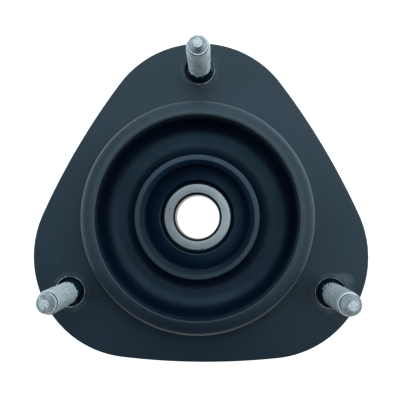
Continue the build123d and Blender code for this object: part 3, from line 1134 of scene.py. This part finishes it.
def upper_pressing(material):
    """Top plate, with its cup and the lip that rises inwards over the rubber."""
    rim_stretch = (cup_outer_radius - rim_lip_radius) / (cup_outer_radius - sheet / 2 - rim_lip_radius)
    corners = [
        (cup_foot_radius, 0),
        (cup_outer_radius, 0, cup_foot_bend),
        (cup_outer_radius, rim_height - rim_fall * rim_stretch, outer_rim_bend),
        (rim_lip_radius, rim_height),
    ]
    piece = pressing(0.0, 1, 0.0, corners, stud_hole_radius)
    edit_mesh()
    lip = rim_lip_radius + WELD
    soften(lambda place: place.xy.length < lip, rim_lip_round, 5)
    soften(lambda place: abs(place.z) < WELD and near_hole(place), stud_hole_chamfer, 2)
    soften(lambda place: abs(place.z) < WELD and not near_hole(place), plate_edge_round, 4)
    soften(lambda place: abs(place.z + sheet) < WELD, sheared_edge_round, 2)
    edit_mesh(False)
    finish_piece(piece, "upper_pressing", material, "mount", "black_ecoat", "upper_plate")


def lower_pressing(material):
    """Bottom plate, a little smaller, with the deeper cup drawn down."""
    corners = [
        (cup_foot_radius, flange_underside),
        (cup_outer_radius, flange_underside, cup_foot_bend),
        (cup_outer_radius, -lower_cup_depth, outer_rim_bend),
        (lower_lip_radius, -lower_cup_depth),
    ]
    piece = pressing(flange_underside, -1, lower_plate_inset, corners, knurl_radius + knurl_clearance)
    edit_mesh()
    lip = lower_lip_radius + WELD
    soften(lambda place: place.xy.length < lip, rim_lip_round, 5)
    face = flange_underside
    soften(lambda place: abs(place.z - face) < WELD and not near_hole(place), plate_edge_round, 4)
    edit_mesh(False)
    finish_piece(piece, "lower_pressing", material, "mount", "black_ecoat", "lower_plate")


# Studs

def stud_core():
    """Head, shank, relief groove, land and conical point, without the thread and the knurled shoulder."""
    head_bottom = flange_underside - stud_head_height
    relief_top = point_bottom - land_length
    shank = thread_root_radius - thread_overlap
    return turned([
        (0, head_bottom),
        (stud_head_radius - stud_head_chamfer, head_bottom),
        (stud_head_radius, head_bottom + stud_head_chamfer, stud_head_round),
        (stud_head_radius, flange_underside, stud_head_round),
        (shank, flange_underside),
        (shank, thread_top),
        (relief_radius, thread_top),
        (relief_radius, relief_top),
        (land_radius, relief_top, land_round),
        (land_radius, point_bottom, land_round),
        (point_foot_radius, point_bottom),
        (point_tip_radius, stud_height, point_tip_round),
        (0, stud_height),
    ], steps=STUD_STEPS)


def stud_knurl():
    """Toothed shoulder that grips the lower plate."""
    clear_selection()
    depth = knurl_top - flange_underside
    bpy.ops.mesh.primitive_cylinder_add(vertices=2 * knurl_teeth, radius=knurl_radius, depth=depth,
                                        location=(0, 0, flange_underside + depth / 2))
    knurl = bpy.context.object
    bpy.ops.object.transform_apply(location=True)
    edit_mesh()
    pick("verts", lambda point: round(degrees(atan2(point.co.y, point.co.x)) * knurl_teeth / 180) % 2)
    inward = 1 - knurl_depth / knurl_radius
    bpy.ops.transform.resize(value=(inward, inward, 1), center_override=(0, 0, 0))
    edit_mesh(False)
    return knurl


def stud_thread():
    """Rolled thread: one tooth's section, screwed up the shank and cut level at both ends."""
    turns = ceil((thread_top - knurl_top) / thread_pitch) + 2
    flank = (thread_pitch - thread_crest - thread_root_land) / 2
    start = knurl_top - thread_pitch
    land = thread_root_land / 2
    thread = start_piece()
    draw_profile([
        (thread_root_radius, start),
        (thread_root_radius, start + land),
        (thread_radius, start + land + flank),
        (thread_radius, start + land + flank + thread_crest),
        (thread_root_radius, start + thread_pitch - land),
        (thread_root_radius, start + thread_pitch),
    ])
    edit_mesh(False)
    apply_modifier(thread, "SCREW", axis="Z", angle=FULL_TURN, screw_offset=thread_pitch,
                   iterations=turns, steps=THREAD_STEPS, render_steps=THREAD_STEPS,
                   use_merge_vertices=True, merge_threshold=WELD)
    edit_mesh()
    for height, below in ((knurl_top, True), (thread_top, False)):
        bpy.ops.mesh.select_all(action="SELECT")
        bpy.ops.mesh.bisect(plane_co=(0, 0, height), plane_no=(0, 0, 1), use_fill=True,
                            clear_inner=below, clear_outer=not below)
    weld_skin()
    edit_mesh(False)
    lead_depth = thread_radius - thread_lead_radius
    cutter_top = thread_top + relief_width
    cutter = turned([
        (thread_lead_radius, thread_top),
        (thread_radius + lead_depth, thread_top - 2 * thread_lead),
        (thread_radius + lead_depth, cutter_top),
        (thread_lead_radius, cutter_top),
    ], steps=STUD_STEPS)
    combine(thread, cutter, "DIFFERENCE")
    return thread


def combine(piece, other, operation="UNION"):
    """Unites two closed solids, or cuts the second out of the first, and removes the second."""
    apply_modifier(piece, "BOOLEAN", operation=operation, solver="EXACT", object=other)
    bpy.data.objects.remove(other)


def studs(material):
    """Three studs from one pattern, each turned differently on its axis."""
    pattern = stud_core()
    combine(pattern, stud_thread())
    combine(pattern, stud_knurl())
    names = ("stud_back", "stud_left", "stud_right")
    turns = (0.0, 130.0, 250.0)
    for index, (place, name, turn) in enumerate(zip(stud_places(), names, turns), start=1):
        clear_selection()
        pattern.select_set(True)
        bpy.context.view_layer.objects.active = pattern
        bpy.ops.object.duplicate()
        stud = bpy.context.object
        stud.location = place * METRE
        stud.rotation_euler.z = radians(turn)
        finish_piece(stud, name, material, "mount", "zinc_plated_steel", f"stud_{index}",
                     smooth=STUD_SMOOTH_ANGLE)
    bpy.data.objects.remove(pattern)


# Rubber

def moulded_isolator(material):
    """The rubber moulding, from the lining of its pad out to the wall that the cups close on."""
    shell = cup_inner_radius - bond_gap
    under_rim = rim_height - sheet - bond_gap
    rim_slope = rim_fall / (cup_outer_radius - sheet / 2 - rim_lip_radius)
    under_bend = under_rim - rim_slope * (shell - rim_lip_radius)
    over_lip = -lower_cup_depth + sheet + bond_gap
    lining_hole = housing_hole_radius - bond_gap
    piece = turned([
        (lining_hole - rubber_lining, pad_top, lining_round),
        (ridge_step_radius, pad_top - pad_slope, recess_foot_round),
        (ridge_step_radius + ridge_step_draft, ridge_top - ridge_step_drop, ridge_round),
        (ridge_inner_radius, ridge_top, ridge_round),
        (ridge_outer_radius, ridge_top, ridge_round),
        (ridge_outer_radius + ridge_draft, groove_floor, groove_round),
        (groove_outer_radius, groove_floor, groove_round),
        (groove_outer_radius + groove_draft, under_rim, ridge_round),
        (shell, under_bend, rubber_corner),
        (shell, over_lip, rubber_corner),
        (lower_groove_radius, over_lip, ridge_round),
        (lower_groove_radius, web_bottom, lower_groove_round),
        (collar_outer_radius, web_bottom, lower_groove_round),
        (collar_outer_radius, collar_bottom, collar_round),
        (collar_inner_radius, collar_bottom),
        (collar_inner_radius, housing_top + bond_gap, housing_bend + housing_sheet),
        (lining_hole, housing_top + bond_gap),
        (lining_hole, bearing_top + press_gap),
        (lining_hole - rubber_lining, bearing_top + press_gap),
    ])
    finish_piece(piece, "moulded_isolator", material, "mount", "black_rubber", "rubber_isolator")


# Bearing and its housing

def inner_race(material):
    """Ring that turns with the damper's rod."""
    shoulder = inner_shoulder_radius
    corners = [
        (shoulder, bearing_top, shoulder_round),
        (bearing_bore_radius + bore_chamfer, bearing_top, bore_chamfer_round),
        (bearing_bore_radius, bearing_top - bore_chamfer, bore_chamfer_round),
        (bearing_bore_radius, bearing_bottom + bore_chamfer, bore_chamfer_round),
        (bearing_bore_radius + bore_chamfer, bearing_bottom, bore_chamfer_round),
        (shoulder, bearing_bottom, shoulder_round),
    ]
    piece = race(corners, shoulder, inner_race_radius + raceway_radius)
    finish_piece(piece, "inner_race", material, "inner_ring", "ground_steel", "bearing_inner_ring")


def outer_race(material):
    """Ring that stays in the housing, with a seat for each seal."""
    shoulder = outer_shoulder_radius
    corners = [
        (shoulder, bearing_bottom + seal_seat_depth),
        (seal_seat_radius, bearing_bottom + seal_seat_depth),
        (seal_seat_radius, bearing_bottom),
        (bearing_outer_radius, bearing_bottom, ring_corner_chamfer),
        (bearing_outer_radius, bearing_top, ring_corner_chamfer),
        (seal_seat_radius, bearing_top),
        (seal_seat_radius, bearing_top - seal_seat_depth),
        (shoulder, bearing_top - seal_seat_depth),
    ]
    piece = race(corners, shoulder, outer_race_radius - raceway_radius)
    finish_piece(piece, "outer_race", material, "mount", "ground_steel", "bearing_outer_ring")


def race(corners, shoulder, centre_radius):
    """Bearing ring: a drawn section whose two ends meet in the raceway's arc at its shoulder."""
    half = acos(abs(centre_radius - shoulder) / raceway_radius)
    edge = raceway_radius * sin(half)
    if centre_radius < shoulder:
        edge = -edge
    piece = start_piece()
    draw_profile([(shoulder, bearing_middle + edge), *corners, (shoulder, bearing_middle - edge)])
    last = Vector((shoulder, 0, bearing_middle - edge))
    pick("verts", lambda point: (point.co - last).length < WELD)
    centre = (centre_radius, 0, bearing_middle)
    bpy.ops.mesh.spin(steps=RACEWAY_STEPS, angle=-2 * half, center=centre, axis=(0, 1, 0))
    spin_round(RING_STEPS)
    edit_mesh(False)
    return piece


def seal(name, material, node, turned_over):
    """Sealing washer whose lip reaches in to the inner ring."""
    top = bearing_top - seal_sink
    lip = inner_shoulder_radius + seal_lip_clearance
    rim = seal_seat_radius - seal_fit
    corners = [
        (lip, top - seal_lip_thickness),
        (lip, top, seal_lip_round),
        (lip + seal_lip_width / 2, top, seal_edge_round),
        (lip + seal_lip_width, top - seal_sink, seal_edge_round),
        (rim, top - seal_sink, seal_rim_round),
        (rim, top - seal_thickness, seal_edge_round),
        (lip + seal_lip_width, top - seal_thickness, seal_edge_round),
    ]
    if turned_over:
        corners = [(radius, 2 * bearing_middle - height, *rounding)
                   for radius, height, *rounding in corners]
    piece = turned(corners, steps=SEAL_STEPS)
    finish_piece(piece, name, material, "mount", "seal_rubber", node)


def pressed_housing(material):
    """Cup pressed down over the bearing, inside the rubber."""
    under = housing_top - housing_sheet
    piece = turned([
        (housing_hole_radius, housing_top, hole_edge_round),
        (housing_outer_radius, housing_top, housing_bend + housing_sheet),
        (housing_outer_radius, housing_bottom, skirt_edge_round),
        (housing_inner_radius, housing_bottom, skirt_edge_round),
        (housing_inner_radius, under, housing_bend),
        (housing_hole_radius, under, hole_edge_round),
    ], steps=RING_STEPS)
    finish_piece(piece, "pressed_housing", material, "mount", "phosphated_steel", "bearing_housing")


def retaining_ring(material):
    """Flanged ring pressed up under the bearing."""
    top = bearing_bottom - press_gap
    outer = bearing_outer_radius
    skirt = top - retainer_sheet / 2 - retainer_flange
    piece = turned([
        (retainer_hole_radius, top, hole_edge_round),
        (outer, top, retainer_bend + retainer_sheet),
        (outer, skirt, skirt_edge_round),
        (outer - retainer_sheet, skirt, skirt_edge_round),
        (outer - retainer_sheet, top - retainer_sheet, retainer_bend),
        (retainer_hole_radius, top - retainer_sheet, hole_edge_round),
    ], steps=RING_STEPS)
    finish_piece(piece, "retaining_ring", material, "mount", "phosphated_steel", "bearing_retainer")


def dress_node(name, material):
    """Gives a CAD piece whose shape is right its finish."""
    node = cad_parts[name]
    node.data.materials.clear()
    node.data.materials.append(material)


def dress_balls_and_cage():
    """Finishes of the pieces inside the bearing that keep their CAD shape."""
    polished = polished_ball_steel()
    strip = cage_strip_steel()
    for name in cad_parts:
        if name.startswith("ball_"):
            dress_node(name, polished)
        elif name.startswith("cage_"):
            dress_node(name, strip)


# Making the mount

add_camera()
bpy.context.scene.view_settings.view_transform = "Standard"
add_floor(1.0)
add_backdrop(1.0)
darken_room()
for softbox in softboxes:
    add_softbox(*softbox)

paint = black_ecoat()
upper_pressing(paint)
lower_pressing(paint)
studs(zinc_plate())
moulded_isolator(moulded_rubber())
ground = ground_ring_steel()
inner_race(ground)
outer_race(ground)
washers = seal_rubber()
seal("upper_seal_washer", washers, "upper_seal", False)
seal("lower_seal_washer", washers, "lower_seal", True)
steel = phosphated_steel()
pressed_housing(steel)
retaining_ring(steel)
dress_balls_and_cage()
